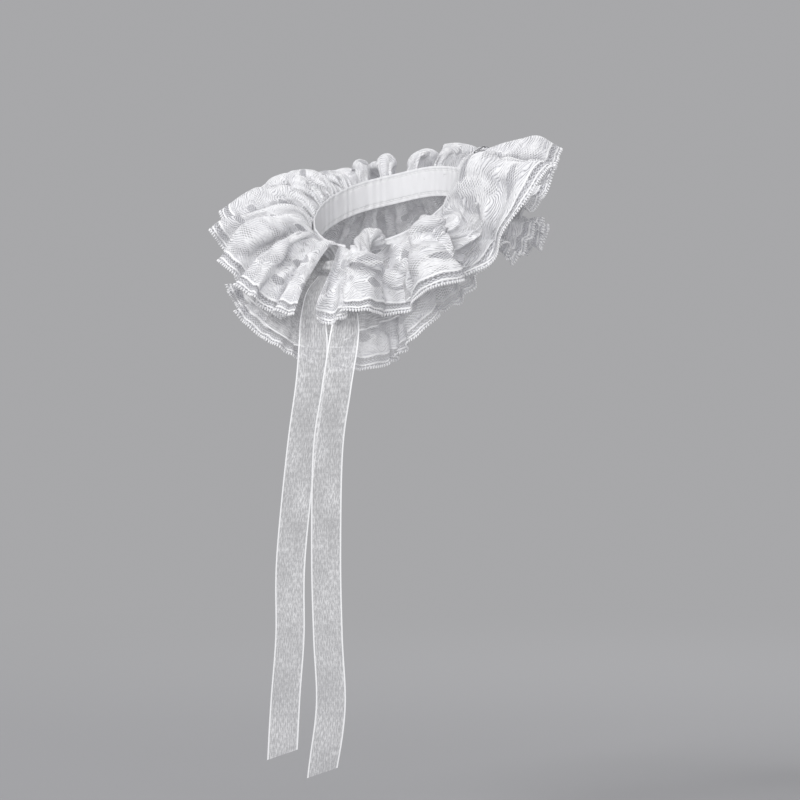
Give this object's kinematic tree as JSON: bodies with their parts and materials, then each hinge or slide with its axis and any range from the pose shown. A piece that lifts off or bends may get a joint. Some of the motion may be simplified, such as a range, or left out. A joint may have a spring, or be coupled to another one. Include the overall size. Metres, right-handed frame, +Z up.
{
  "type": "ruff collar",
  "caption": "Gathered lace ruff collar that stands round the neck in layered ruffles of lace and organza, tied at the front with long ribbon tails.",
  "frame": {"origin": "middle of the neckband's opening, on the axis of the wearer's neck, half way between the band's height at the nape and a little above its height at the throat", "axes": "+Z up as worn, -Y the way the wearer faces, +X the wearer's left"},
  "size_m": [0.2951, 0.2726, 0.5092],
  "materials": {
    "band": "plain white woven tape, matt",
    "lace": "cool white figured lace on a fine net, with a picot edge",
    "organza": "crisp sheer white organza",
    "ribbon": "sheer white organza ribbon with brighter woven edges"
  },
  "bodies": {
    "root": {"neckband": "band", "ruffle_top_lace": "lace", "ruffle_organza": "organza", "ruffle_under_lace": "lace", "tie_knot": "ribbon", "tie_ribbon_left": "ribbon", "tie_ribbon_right": "ribbon"}
  },
  "joints": []
}
